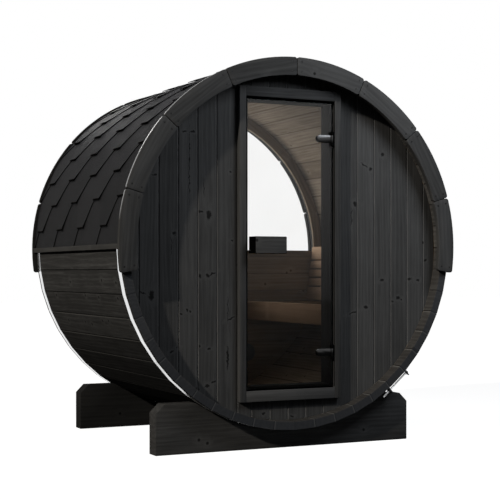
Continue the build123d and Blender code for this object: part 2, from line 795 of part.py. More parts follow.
door_head.part.label = "door_head"
export_step(door_head.part, "parts/door_head.step")
door_sill.part.label = "door_sill"
export_step(door_sill.part, "parts/door_sill.step")
hinge_plates.part.label = "hinge_plates"
export_step(hinge_plates.part, "parts/hinge_plates.step")
door_glass.part.label = "door_glass"
export_step(door_glass.part, "parts/door_glass.step")
hinge_clamps.part.label = "hinge_clamps"
export_step(hinge_clamps.part, "parts/hinge_clamps.step")
door_handle.part.label = "door_handle"
export_step(door_handle.part, "parts/door_handle.step")
handle_backplate.part.label = "handle_backplate"
export_step(handle_backplate.part, "parts/handle_backplate.step")
rear_wall_lower.part.label = "rear_wall_lower"
export_step(rear_wall_lower.part, "parts/rear_wall_lower.step")
rear_window_rail.part.label = "rear_window_rail"
export_step(rear_window_rail.part, "parts/rear_window_rail.step")
rear_window_ring.part.label = "rear_window_ring"
export_step(rear_window_ring.part, "parts/rear_window_ring.step")
rear_window_glass.part.label = "rear_window_glass"
export_step(rear_window_glass.part, "parts/rear_window_glass.step")
vent_inside.part.label = "vent_inside"
export_step(vent_inside.part, "parts/vent_inside.step")
vent_outside.part.label = "vent_outside"
export_step(vent_outside.part, "parts/vent_outside.step")
bench_fascia.part.label = "bench_fascia"
export_step(bench_fascia.part, "parts/bench_fascia.step")
bench_seat.part.label = "bench_seat"
export_step(bench_seat.part, "parts/bench_seat.step")
bench_bearers.part.label = "bench_bearers"
export_step(bench_bearers.part, "parts/bench_bearers.step")
backrest_slats.part.label = "backrest_slats"
export_step(backrest_slats.part, "parts/backrest_slats.step")
backrest_uprights.part.label = "backrest_uprights"
export_step(backrest_uprights.part, "parts/backrest_uprights.step")
front_cradle.part.label = "front_cradle"
export_step(front_cradle.part, "parts/front_cradle.step")
rear_cradle.part.label = "rear_cradle"
export_step(rear_cradle.part, "parts/rear_cradle.step")
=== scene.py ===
import bpy
import math
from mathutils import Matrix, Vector


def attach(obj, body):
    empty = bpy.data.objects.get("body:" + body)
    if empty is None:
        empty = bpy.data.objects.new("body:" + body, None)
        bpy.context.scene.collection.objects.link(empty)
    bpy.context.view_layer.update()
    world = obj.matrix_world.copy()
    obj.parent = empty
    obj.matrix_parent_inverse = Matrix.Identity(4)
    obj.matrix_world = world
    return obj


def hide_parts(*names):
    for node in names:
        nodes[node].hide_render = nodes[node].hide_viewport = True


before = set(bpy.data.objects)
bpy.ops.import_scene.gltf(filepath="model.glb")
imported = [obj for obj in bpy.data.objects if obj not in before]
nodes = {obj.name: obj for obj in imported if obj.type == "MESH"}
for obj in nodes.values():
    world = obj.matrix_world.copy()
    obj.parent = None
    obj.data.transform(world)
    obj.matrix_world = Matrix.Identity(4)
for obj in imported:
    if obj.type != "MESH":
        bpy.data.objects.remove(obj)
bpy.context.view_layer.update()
print("frame loaded,", len(nodes), "solids")

# the barrel in metres, as the solids have it
barrel = {
    "axisHeight": 1.10945,
    "staveReach": 0.763,  # half the length of the staves
    "staveStep": math.radians(7.5),
    "staveMiddle": 0.98,  # radius at half the thickness of a stave
    "wallRadius": 0.9565,
    "wallFace": 0.691,  # outer face of both end walls
    "wallBack": 0.649,
    "fasciaStep": math.radians(24.6),
    "fasciaStart": math.radians(-8.4),
}
axisHeight = barrel["axisHeight"]


# picking and shaping
def dropPicks():
    if bpy.context.mode != "OBJECT":
        bpy.ops.object.mode_set(mode="OBJECT")
    bpy.ops.object.select_all(action="DESELECT")


def pickOnly(*pieces):
    dropPicks()
    for piece in pieces:
        piece.select_set(True)
    bpy.context.view_layer.objects.active = pieces[0]


def settle(*pieces):  # place, turn and size go into the mesh
    pickOnly(*pieces)
    bpy.ops.object.transform_apply(location=True, rotation=True, scale=True)


def called(piece, name):
    piece.name = name
    piece.data.name = name
    return piece


def startBlock(name, low, high):
    dropPicks()
    middle = [(a + b) / 2 for a, b in zip(low, high)]
    bpy.ops.mesh.primitive_cube_add(size=1, location=middle)
    piece = called(bpy.context.object, name)
    piece.scale = [b - a for a, b in zip(low, high)]
    settle(piece)
    return piece


def startRod(name, radius, length, sides, middle, turn=(0, 0, 0)):
    dropPicks()
    bpy.ops.mesh.primitive_cylinder_add(
        vertices=sides, radius=radius, depth=length, location=middle, rotation=turn
    )
    piece = called(bpy.context.object, name)
    settle(piece)
    return piece


def editEdges(piece, test):  # leaves the piece in edit mode with those edges picked
    pickOnly(piece)
    bpy.ops.object.mode_set(mode="EDIT")
    bpy.ops.mesh.select_mode(type="EDGE")
    bpy.ops.mesh.select_all(action="DESELECT")
    bpy.ops.object.mode_set(mode="OBJECT")
    points = piece.data.vertices
    for edge in piece.data.edges:
        edge.select = test(points[edge.vertices[0]].co, points[edge.vertices[1]].co)
    bpy.ops.object.mode_set(mode="EDIT")


def editFaces(piece, test):
    pickOnly(piece)
    bpy.ops.object.mode_set(mode="EDIT")
    bpy.ops.mesh.select_mode(type="FACE")
    bpy.ops.mesh.select_all(action="DESELECT")
    bpy.ops.object.mode_set(mode="OBJECT")
    for face in piece.data.polygons:
        face.select = test(face.center, face.normal)
    bpy.ops.object.mode_set(mode="EDIT")


def editAll(piece):
    pickOnly(piece)
    bpy.ops.object.mode_set(mode="EDIT")
    bpy.ops.mesh.select_all(action="SELECT")


def pullOut(way):  # extrudes what is picked
    bpy.ops.mesh.extrude_region_move(TRANSFORM_OT_translate={"value": way})


def cutOff(piece, point, away):  # drops what lies on the side that away points to
    editAll(piece)
    bpy.ops.mesh.bisect(plane_co=point, plane_no=away, use_fill=True, clear_outer=True)
    bpy.ops.object.mode_set(mode="OBJECT")


def trimEnds(piece):  # flush with the ends of the staves
    reach = barrel["staveReach"]
    cutOff(piece, (0, reach, 0), (0, 1, 0))
    cutOff(piece, (0, -reach, 0), (0, -1, 0))


def finishWith(piece, kind, **settings):
    pickOnly(piece)
    change = piece.modifiers.new(kind.title(), kind)
    for key, value in settings.items():
        setattr(change, key, value)
    bpy.ops.object.modifier_apply(modifier=change.name)


def smoothed(piece, degrees=35):
    pickOnly(piece)
    bpy.ops.object.shade_smooth_by_angle(angle=math.radians(degrees))
    return piece


def twin(piece):
    other = piece.copy()
    other.data = piece.data.copy()
    bpy.context.collection.objects.link(other)
    return other


def gather(name, pieces):
    pickOnly(*pieces)
    if len(pieces) > 1:
        bpy.ops.object.join()
    return called(bpy.context.object, name)


easing = {
    "weld": 0.00002,
    "flatWithin": math.radians(0.6),  # faces this close to one plane become one
    "sharpFrom": math.radians(32),
    "noseSteps": 6,
}


def softCopy(name, nodeName, width, segments=2, nose=None):  # a solid with its arrises eased
    piece = bpy.data.objects.new(name, nodes[nodeName].data.copy())
    bpy.context.collection.objects.link(piece)
    called(piece, name)
    editAll(piece)
    bpy.ops.mesh.remove_doubles(threshold=easing["weld"])
    bpy.ops.mesh.dissolve_limited(angle_limit=easing["flatWithin"])
    bpy.ops.object.mode_set(mode="OBJECT")
    if nose:  # one end rounded first
        test, radius = nose
        editEdges(piece, test)
        bpy.ops.mesh.bevel(offset=radius, segments=easing["noseSteps"])
        bpy.ops.object.mode_set(mode="OBJECT")
    finishWith(
        piece, "BEVEL", width=width, segments=segments, limit_method="ANGLE",
        angle_limit=easing["sharpFrom"], use_clamp_overlap=True,
    )
    return smoothed(piece)


def dress(piece, *coats):
    piece.data.materials.clear()
    for coat in coats:
        piece.data.materials.append(coat)


def dressWhere(piece, first, second, test):  # faces that pass the test get the second finish
    dress(piece, first, second)
    for face in piece.data.polygons:
        face.material_index = 1 if test(face.center, face.normal) else 0


def repaint(finish, *names):
    for name in names:
        for place in nodes[name].material_slots:
            place.material = finish


def seat(piece, body, slot, *stoodFor):
    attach(piece, body)
    if stoodFor:
        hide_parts(*stoodFor)


# node helpers
def fill(tree, node, sockets):  # a socket is linked, a plain value is set
    for key, value in sockets.items():
        if isinstance(value, bpy.types.NodeSocket):
            tree.links.new(value, node.inputs[key])
        else:
            node.inputs[key].default_value = value


def put(tree, kind, sockets=None, **settings):
    node = tree.nodes.new("ShaderNode" + kind)
    for key, value in settings.items():
        setattr(node, key, value)
    fill(tree, node, sockets or {})
    return node


def calc(tree, operation, a, b=0.0, c=0.0, clamp=False):
    node = put(tree, "Math", {0: a, 1: b, 2: c}, operation=operation, use_clamp=clamp)
    return node.outputs[0]


def between(tree, value, low, high, outLow=0.0, outHigh=1.0):
    node = put(
        tree, "MapRange", {0: value, 1: low, 2: high, 3: outLow, 4: outHigh},
        interpolation_type="SMOOTHSTEP",
    )
    return node.outputs[0]


def blendColour(tree, share, a, b):
    return put(tree, "Mix", {0: share, 6: a, 7: b}, data_type="RGBA", blend_type="MIX").outputs[2]


def stretched(tree, vector, factors):
    return put(tree, "VectorMath", {0: vector, 1: factors}, operation="MULTIPLY").outputs[0]


def speckle(tree, vector, scale, detail=3.0, rough=0.55, twist=0.0):
    return put(
        tree, "TexNoise",
        {"Vector": vector, "Scale": scale, "Detail": detail, "Roughness": rough, "Distortion": twist},
    ).outputs[0]


def objectPlace(tree):
    return put(tree, "TexCoord").outputs["Object"]


def axes(tree, vector):
    return put(tree, "SeparateXYZ", {0: vector}).outputs


def newFinish(name):
    finish = bpy.data.materials.new(name)
    finish.use_nodes = True
    tree = finish.node_tree
    return finish, tree, tree.nodes["Principled BSDF"]


def roughen(tree, shader, height, strength, distance):
    bump = put(tree, "Bump", {"Height": height, "Strength": strength, "Distance": distance})
    fill(tree, shader, {"Normal": bump.outputs[0]})


def showShader(tree, shader):
    tree.links.new(shader.outputs[0], tree.nodes["Material Output"].inputs[0])


# wood
woodTones = {
    "stainDark": (0.031, 0.031, 0.031, 1),
    "stainLight": (0.065, 0.065, 0.065, 1),
    "stainKnot": (0.005, 0.005, 0.005, 1),
    "stainBevelHighlight": (0.105, 0.104, 0.100, 1),  # painted highlight on the arrises of the lower staves
    "stainEndShade": (0.040, 0.043, 0.049, 1),  # painted bluish shade on the ends of the staves
    "bareDark": (0.200, 0.155, 0.112, 1),
    "bareLight": (0.350, 0.290, 0.222, 1),
    "bareKnot": (0.095, 0.066, 0.044, 1),
    "benchDark": (0.320, 0.210, 0.135, 1),
    "benchLight": (0.520, 0.365, 0.245, 1),
    "benchKnot": (0.150, 0.090, 0.055, 1),
}

# knots and dark streaks of the front wall: across, height over the axis, half sizes, tilt
leftKnots = [
    (-0.482, 0.161, 0.0113, 0.0200, 0), (-0.532, 0.180, 0.0165, 0.0048, -12),
    (-0.680, 0.058, 0.0076, 0.0084, 0), (-0.698, -0.009, 0.0018, 0.0447, 0),
    (-0.354, 0.395, 0.0054, 0.0059, 0), (-0.346, 0.026, 0.0054, 0.0059, 0),
    (-0.595, 0.423, 0.0021, 0.1853, 0), (-0.511, 0.301, 0.0021, 0.0453, 0),
    (-0.793, 0.367, 0.0116, 0.0047, 10), (-0.620, 0.602, 0.0117, 0.0042, 0),
    (-0.574, 0.602, 0.0118, 0.0042, 0), (-0.811, -0.266, 0.0128, 0.0209, 0),
    (-0.860, -0.251, 0.0173, 0.0042, -15), (-0.537, -0.166, 0.0094, 0.0085, 0),
    (-0.487, -0.164, 0.0107, 0.0085, 0), (-0.458, -0.151, 0.0154, 0.0043, 25),
    (-0.609, -0.347, 0.0065, 0.0058, 0), (-0.586, -0.355, 0.0053, 0.0053, 0),
    (-0.641, -0.367, 0.0059, 0.0048, 0), (-0.350, -0.395, 0.0203, 0.0043, 21),
    (-0.369, -0.345, 0.0021, 0.0672, 0), (-0.372, -0.603, 0.0054, 0.0537, 0),
    (-0.537, -0.538, 0.0077, 0.0048, 0), (-0.482, -0.553, 0.0077, 0.0048, 0),
    (-0.698, -0.563, 0.0093, 0.0058, 20), (-0.660, -0.541, 0.0082, 0.0053, 0),
    (-0.491, -0.749, 0.0101, 0.0080, 0), (-0.450, -0.731, 0.0166, 0.0037, 20),
    (-0.548, -0.764, 0.0071, 0.0064, 0),
]
rightKnots = [
    (0.426, 0.242, 0.0126, 0.0102, 0), (0.398, 0.167, 0.0022, 0.0452, 0),
    (0.600, -0.189, 0.0140, 0.0063, 25), (0.786, -0.184, 0.0116, 0.0075, 0),
    (0.842, -0.190, 0.0103, 0.0064, 10), (0.709, -0.294, 0.0096, 0.0069, 0),
    (0.731, -0.301, 0.0077, 0.0058, 0), (0.671, -0.312, 0.0077, 0.0052, 0),
    (0.496, -0.345, 0.0095, 0.0068, 0), (0.414, -0.372, 0.0245, 0.0045, 18),
    (0.894, -0.074, 0.0091, 0.0076, 0), (0.607, 0.529, 0.0102, 0.0103, 0),
    (0.525, 0.445, 0.0101, 0.0091, 0), (0.481, 0.464, 0.0189, 0.0040, -25),
    (-0.157, -0.913, 0.0090, 0.0060, 0), (0.020, -0.936, 0.0080, 0.0050, 0),
]

# triples run across, into and along the fibres; shares add up to the tone
woodGrain = {
    "seedAcross": 7.3,  # each board comes from another part of the pattern
    "seedAlong": 29.0,
    "swayScale": (7.0, 7.0, 0.75),
    "sway": 26.0,
    "ringRate": 240.0,
    "knotBend": 7.0,
    "ringPower": 1.6,
    "fibreScale": (420.0, 420.0, 9.0),
    "streakScale": (46.0, 46.0, 1.4),
    "cloudScale": 5.0,
    "ringShare": 0.20,
    "streakShare": 0.36,
    "fibreShare": 0.32,
    "cloudShare": 0.5,
    "boardShare": 0.44,
    "coreShare": 0.84,
    "stainBlur": 0.0015,
}
knotLook = {
    "warpScale": 46.0,
    "warp": (0.026, 0.0, 0.022),
    "deep": 100.0,  # a knot goes right through the board
    "raggedScale": 130.0,
    "ragged": 1.6,
    "core": (1.55, 0.75),  # in half sizes from the middle
    "halo": (4.2, 1.2),
    "cellScale": 6.2,  # scattered knots: one to a cell
    "keptAbove": 0.72,
    "cellCore": (0.075, 0.025),
    "cellHalo": (0.30, 0.05),
}
staveLook = {
    "joint": (0.012, 0.03, 0.85, 0.0),  # dark line, in widths of a stave
    "highlightFrom": (0.02, 0.035),  # painted highlight: light line below the joint
    "highlightTo": (0.06, 0.075),
    "highlightHeight": (-0.20, -0.45, 0.0, 0.8),
    "middleTone": 0.45,
    "contrast": 1.6,
    "undersideShade": (-0.80, -0.10, 0.66, 0.0),  # painted shade: darker towards the underside
    "endShade": (0.003, 0.001),
    "endShadeShare": 0.55,
    "overhang": (-0.004, 0.002),
    "weathered": 0.96,
}
varnish = {
    "height": (0.12, 0.42),
    "aside": (0.28, 0.56),
    "behindFace": (-0.782, -0.776),
    "frontOnly": (-0.2, 0.2, 1.0, 0.0),
}


def grainFrame(tree, grain, x, y, z, radius, turn):
    # the ways across, into and along the fibres, and the number of the stave or segment
    if grain == "stave":
        number = calc(tree, "FLOOR", calc(tree, "DIVIDE", turn, barrel["staveStep"]))
        return calc(tree, "MULTIPLY", turn, barrel["staveMiddle"]), radius, y, number
    if grain == "fascia":
        step, start = barrel["fasciaStep"], barrel["fasciaStart"]
        lifted = calc(tree, "WRAP", calc(tree, "SUBTRACT", turn, start), 2 * math.pi, 0.0)
        number = calc(tree, "FLOOR", calc(tree, "DIVIDE", lifted, step))
        middle = calc(tree, "MULTIPLY_ADD", calc(tree, "ADD", number, 0.5), step, start)
        cosine, sine = calc(tree, "COSINE", middle), calc(tree, "SINE", middle)
        across = calc(tree, "ADD", calc(tree, "MULTIPLY", x, cosine), calc(tree, "MULTIPLY", z, sine))
        along = calc(tree, "SUBTRACT", calc(tree, "MULTIPLY", z, cosine), calc(tree, "MULTIPLY", x, sine))
        return across, y, along, number
    return {"x": (z, y, x), "y": (x, z, y), "z": (x, y, z)}[grain] + (None,)


def listedKnots(tree, place, knots):
    k = knotLook
    warp = put(tree, "TexNoise", {"Vector": place, "Scale": k["warpScale"], "Detail": 2.0}).outputs["Color"]
    warp = put(tree, "VectorMath", {0: warp, 1: (0.5, 0.5, 0.5)}, operation="SUBTRACT").outputs[0]
    bent = put(tree, "VectorMath", {0: warp, 1: k["warp"], 2: place}, operation="MULTIPLY_ADD").outputs[0]
    near = None
    for cx, cz, halfWide, halfTall, tilt in knots:
        local = put(
            tree, "Mapping",
            {"Vector": bent, "Location": (cx, 0, axisHeight + cz), "Rotation": (0, -math.radians(tilt), 0),
             "Scale": (halfWide, k["deep"], halfTall)},
            vector_type="TEXTURE",
        ).outputs[0]
        far = put(tree, "VectorMath", {0: local}, operation="LENGTH").outputs["Value"]
        near = far if near is None else calc(tree, "MINIMUM", near, far)
    ragged = speckle(tree, place, k["raggedScale"], 3.0, 0.6)
    ragged = calc(tree, "MULTIPLY_ADD", ragged, k["ragged"], -k["ragged"] / 2)
    core = between(tree, calc(tree, "ADD", near, ragged), *k["core"])
    return core, between(tree, near, *k["halo"])


def scatteredKnots(tree, across, along):
    k = knotLook
    flat = put(tree, "CombineXYZ", {0: across, 1: along}).outputs[0]
    cells = put(tree, "TexVoronoi", {"Vector": flat, "Scale": k["cellScale"]}, voronoi_dimensions="2D").outputs
    chance = put(tree, "SeparateColor", {0: cells["Color"]}).outputs[0]
    kept = calc(tree, "GREATER_THAN", chance, k["keptAbove"])
    core = calc(tree, "MULTIPLY", between(tree, cells["Distance"], *k["cellCore"]), kept)
    return core, calc(tree, "MULTIPLY", between(tree, cells["Distance"], *k["cellHalo"]), kept)


def staveLines(tree, turn, x, z):  # the dark joint of two staves and the painted highlight on the arris below it
    s = staveLook
    offset = calc(tree, "FRACT", calc(tree, "ADD", calc(tree, "DIVIDE", turn, barrel["staveStep"]), 0.5))
    offset = calc(tree, "SUBTRACT", offset, 0.5)
    joint = between(tree, calc(tree, "ABSOLUTE", offset), *s["joint"])
    below = calc(tree, "MULTIPLY", offset, calc(tree, "SIGN", calc(tree, "MULTIPLY", x, -1.0)))
    upper, lower = between(tree, below, *s["highlightFrom"]), between(tree, below, *s["highlightTo"])
    bevelHighlight = calc(tree, "SUBTRACT", upper, lower)
    return joint, calc(tree, "MULTIPLY", bevelHighlight, between(tree, z, *s["highlightHeight"]))


def woodFinish(
    name, grain, seedFrom="object", bare=None, knots=None,
    shade=1.0, inner=1.0, gloss=0.0, sheen=0.5, index=1.5, varnished=False,
):
    # grain: the way the fibres run; bare: where the wood is left without stain
    g = woodGrain
    finish, tree, shader = newFinish(name)
    place = objectPlace(tree)
    parts = axes(tree, place)
    x, y, z = parts[0], parts[1], calc(tree, "SUBTRACT", parts[2], axisHeight)
    length = calc(tree, "ABSOLUTE", y)
    radius = calc(tree, "SQRT", calc(tree, "ADD", calc(tree, "MULTIPLY", x, x), calc(tree, "MULTIPLY", z, z)))
    turn = calc(tree, "ARCTAN2", z, x)
    across, depth, along, number = grainFrame(tree, grain, x, y, z, radius, turn)
    if number is not None:
        seed = put(tree, "TexWhiteNoise", {"W": number}, noise_dimensions="1D").outputs[0]
    elif seedFrom == "island":
        seed = put(tree, "NewGeometry").outputs["Random Per Island"]
    else:
        seed = put(tree, "ObjectInfo").outputs["Random"]
    movedAcross = calc(tree, "MULTIPLY_ADD", seed, g["seedAcross"], across)
    movedAlong = calc(tree, "MULTIPLY_ADD", seed, g["seedAlong"], along)
    shifted = put(tree, "CombineXYZ", {0: movedAcross, 1: depth, 2: movedAlong}).outputs[0]
    if knots:
        core, halo = listedKnots(tree, place, knots)
    else:
        core, halo = scatteredKnots(tree, movedAcross, movedAlong)

    # year rings bend round the knots, fine fibres lie over them
    sway = speckle(tree, stretched(tree, shifted, g["swayScale"]), 1.0, 2.0, 0.5)
    phase = calc(tree, "MULTIPLY_ADD", across, g["ringRate"], calc(tree, "MULTIPLY", sway, g["sway"]))
    phase = calc(tree, "MULTIPLY_ADD", halo, g["knotBend"], phase)
    rings = calc(tree, "MULTIPLY_ADD", calc(tree, "SINE", phase), 0.5, 0.5)
    rings = calc(tree, "POWER", rings, g["ringPower"])
    fibres = speckle(tree, stretched(tree, shifted, g["fibreScale"]), 1.0, 4.0, 0.6)
    streaks = speckle(tree, stretched(tree, shifted, g["streakScale"]), 1.0, 4.0, 0.62, 0.3)
    cloud = speckle(tree, shifted, g["cloudScale"], 2.0, 0.5)

    tone = calc(tree, "MULTIPLY", between(tree, streaks, 0.30, 0.72), g["streakShare"])
    tone = calc(tree, "MULTIPLY_ADD", rings, g["ringShare"], tone)
    tone = calc(tree, "MULTIPLY_ADD", between(tree, fibres, 0.3, 0.7), g["fibreShare"], tone)
    tone = calc(tree, "MULTIPLY_ADD", calc(tree, "SUBTRACT", cloud, 0.4), g["cloudShare"], tone)
    tone = calc(tree, "MULTIPLY_ADD", calc(tree, "SUBTRACT", seed, 0.5), g["boardShare"], tone, clamp=True)
    if grain == "stave":
        joint, bevelHighlight = staveLines(tree, turn, x, z)
        middle = staveLook["middleTone"]
        tone = calc(tree, "SUBTRACT", tone, middle)
        tone = calc(tree, "MULTIPLY_ADD", tone, staveLook["contrast"], middle, clamp=True)
    ringed = calc(tree, "MULTIPLY", halo, calc(tree, "MULTIPLY_ADD", rings, -0.5, 0.62))
    knotted = calc(tree, "MULTIPLY", core, g["coreShare"])

    def toned(kind, share):
        dark, light, knot = (
            tuple(c * share for c in woodTones[kind + key][:3]) + (1,) for key in ("Dark", "Light", "Knot")
        )
        colour = blendColour(tree, tone, dark, light)
        colour = blendColour(tree, ringed, colour, light)
        if grain == "stave":
            colour = blendColour(tree, joint, colour, knot)
        return blendColour(tree, knotted, colour, knot)

    colour = toned("stain", shade)
    if grain == "stave":
        # painted shade: the staves darken towards the underside
        colour = blendColour(tree, between(tree, z, *staveLook["undersideShade"]), colour, woodTones["stainKnot"])
        # painted highlight on the arrises of the lower staves
        colour = blendColour(tree, bevelHighlight, colour, woodTones["stainBevelHighlight"])
        # painted shade: the ends of the staves are tinted bluish
        ends = [barrel["staveReach"] - inset for inset in staveLook["endShade"]]
        endShade = between(tree, length, *ends, 0.0, staveLook["endShadeShare"])
        colour = blendColour(tree, endShade, colour, woodTones["stainEndShade"])
    if bare == "all":
        colour = toned("bench", inner)
    elif bare:
        side, edge = bare
        measured = {"radius": radius, "front": y, "rear": calc(tree, "MULTIPLY", y, -1.0)}[side]
        inside = between(tree, measured, edge - g["stainBlur"], edge + g["stainBlur"], 1.0, 0.0)
        if side != "radius":
            inside = calc(tree, "SUBTRACT", 1.0, inside)
        if grain == "stave":  # weathered where the staves reach past the end walls
            past = between(tree, length, *(barrel["wallFace"] + out for out in staveLook["overhang"]))
            past = calc(tree, "MULTIPLY_ADD", past, -staveLook["weathered"], 1.0)
            inside = calc(tree, "MULTIPLY", inside, past)
        colour = blendColour(tree, inside, colour, toned("bare", inner))
    rough = calc(tree, "MULTIPLY_ADD", fibres, 0.22, sheen)
    rough = calc(tree, "MULTIPLY_ADD", core, -0.1, rough)
    fill(tree, shader, {"Base Color": colour, "Roughness": rough, "Specular IOR Level": gloss, "IOR": index})
    if varnished:  # only on the sheltered shoulders: worn off below and on top
        left = calc(
            tree, "MULTIPLY", between(tree, z, *varnish["height"]),
            between(tree, calc(tree, "ABSOLUTE", x), *varnish["aside"]),
        )
        left = calc(tree, "MULTIPLY", left, between(tree, y, *varnish["behindFace"]))
        left = calc(tree, "MULTIPLY", left, between(tree, y, *varnish["frontOnly"]))
        fill(tree, shader, {"Specular IOR Level": calc(tree, "MULTIPLY", left, gloss)})
    relief = calc(tree, "MULTIPLY_ADD", rings, 0.5, calc(tree, "MULTIPLY", fibres, 0.8))
    relief = calc(tree, "MULTIPLY_ADD", core, -0.6, relief)
    roughen(tree, shader, relief, 0.35, 0.0012)
    return finish


# shingles, metal, rubber, glass
mineral = {
    "gritScale": 520.0,
    "low": ((0.0036, 0.0036, 0.0038, 1), (0.0170, 0.0170, 0.0182, 1)),
    "high": ((0.0064, 0.0066, 0.0076, 1), (0.0300, 0.0308, 0.0352, 1)),  # painted light: lighter and bluer towards the ridge
    "ridgeLight": (0.1, 0.95),
    "gritShare": 0.45,
    "patchShare": 0.4,
    "tabShare": 0.28,
    "gloss": 0.03,
}


def shingleFinish():
    s = mineral
    finish, tree, shader = newFinish("mineralShingle")
    place = objectPlace(tree)
    tab = put(tree, "NewGeometry").outputs["Random Per Island"]
    grit = put(tree, "TexVoronoi", {"Vector": place, "Scale": s["gritScale"]}).outputs
    grain = put(tree, "SeparateColor", {0: grit["Color"]}).outputs[0]
    patch = speckle(tree, place, 9.0, 4.0, 0.6)
    tone = calc(tree, "MULTIPLY_ADD", grain, s["gritShare"], calc(tree, "MULTIPLY", patch, s["patchShare"]))
    tone = calc(tree, "MULTIPLY_ADD", calc(tree, "SUBTRACT", tab, 0.5), s["tabShare"], tone, clamp=True)
    height = calc(tree, "SUBTRACT", axes(tree, place)[2], axisHeight)
    # painted light: the lower and upper tones are blended by height
    low, high = blendColour(tree, tone, *s["low"]), blendColour(tree, tone, *s["high"])
    fill(tree, shader, {
        "Base Color": blendColour(tree, between(tree, height, *s["ridgeLight"]), low, high),
        "Roughness": calc(tree, "MULTIPLY_ADD", grain, 0.25, 0.55),
        "Specular IOR Level": s["gloss"],
    })
    roughen(tree, shader, grit["Distance"], 0.5, 0.0008)
    return finish


def grey(level):
    return (level, level, level, 1)


# near-black: the cut edges of the shingles, and the painted-shadow strip under each tab
def cutEdgeAndShadowFinish():
    finish, tree, shader = newFinish("shingleCutEdgeAndShadow")
    mottle = speckle(tree, objectPlace(tree), 260.0, 3.0)
    fill(tree, shader, {
        "Base Color": blendColour(tree, mottle, grey(0.001), grey(0.006)),
        "Roughness": calc(tree, "MULTIPLY_ADD", mottle, 0.2, 0.7),
        "Specular IOR Level": 0.0,
    })
    return finish


def metalFinish(name, dark, light, smooth, coarse, stretch):
    finish, tree, shader = newFinish(name)
    place = objectPlace(tree)
    lines = speckle(tree, stretched(tree, place, stretch), 1.0, 3.0, 0.6)
    cloud = speckle(tree, place, 14.0, 3.0, 0.5)
    tone = calc(tree, "MULTIPLY_ADD", lines, 0.55, calc(tree, "MULTIPLY", cloud, 0.45), clamp=True)
    fill(tree, shader, {
        "Base Color": blendColour(tree, tone, dark, light),
        "Roughness": between(tree, tone, 0.2, 0.8, coarse, smooth),
        "Metallic": 1.0,
    })
    roughen(tree, shader, lines, 0.12, 0.0004)
    return finish


def coatFinish(name, dark, light, low, high, size, gloss):
    finish, tree, shader = newFinish(name)
    place = objectPlace(tree)
    mottle = speckle(tree, place, size, 4.0, 0.6)
    cloud = speckle(tree, place, 11.0, 2.0)
    tone = calc(tree, "MULTIPLY_ADD", mottle, 0.6, calc(tree, "MULTIPLY", cloud, 0.4), clamp=True)
    fill(tree, shader, {
        "Base Color": blendColour(tree, tone, dark, light),
        "Roughness": between(tree, mottle, 0.25, 0.75, low, high),
        "Specular IOR Level": gloss,
    })
    roughen(tree, shader, mottle, 0.2, 0.0004)
    return finish


def paneFinish(name, tint, clear, lampTint, index, shaded=False):
    finish, tree, shader = newFinish(name)
    smear = speckle(tree, objectPlace(tree), 3.0, 3.0, 0.6, 0.4)
    fill(tree, shader, {
        "Base Color": blendColour(tree, smear, tint, clear),
        "Roughness": between(tree, smear, 0.35, 0.75, 0.0, 0.012),
        "Transmission Weight": 1.0,
        "IOR": index,
    })
    through = put(tree, "BsdfTransparent", {"Color": lampTint})
    rays = put(tree, "LightPath").outputs
    ray = rays["Is Shadow Ray"]
    if shaded:  # the bronze pane keeps most daylight out of the room
        ray = calc(tree, "MAXIMUM", ray, rays["Is Diffuse Ray"])
    showShader(tree, put(tree, "MixShader", {0: ray, 1: shader.outputs[0], 2: through.outputs[0]}))
    return finish


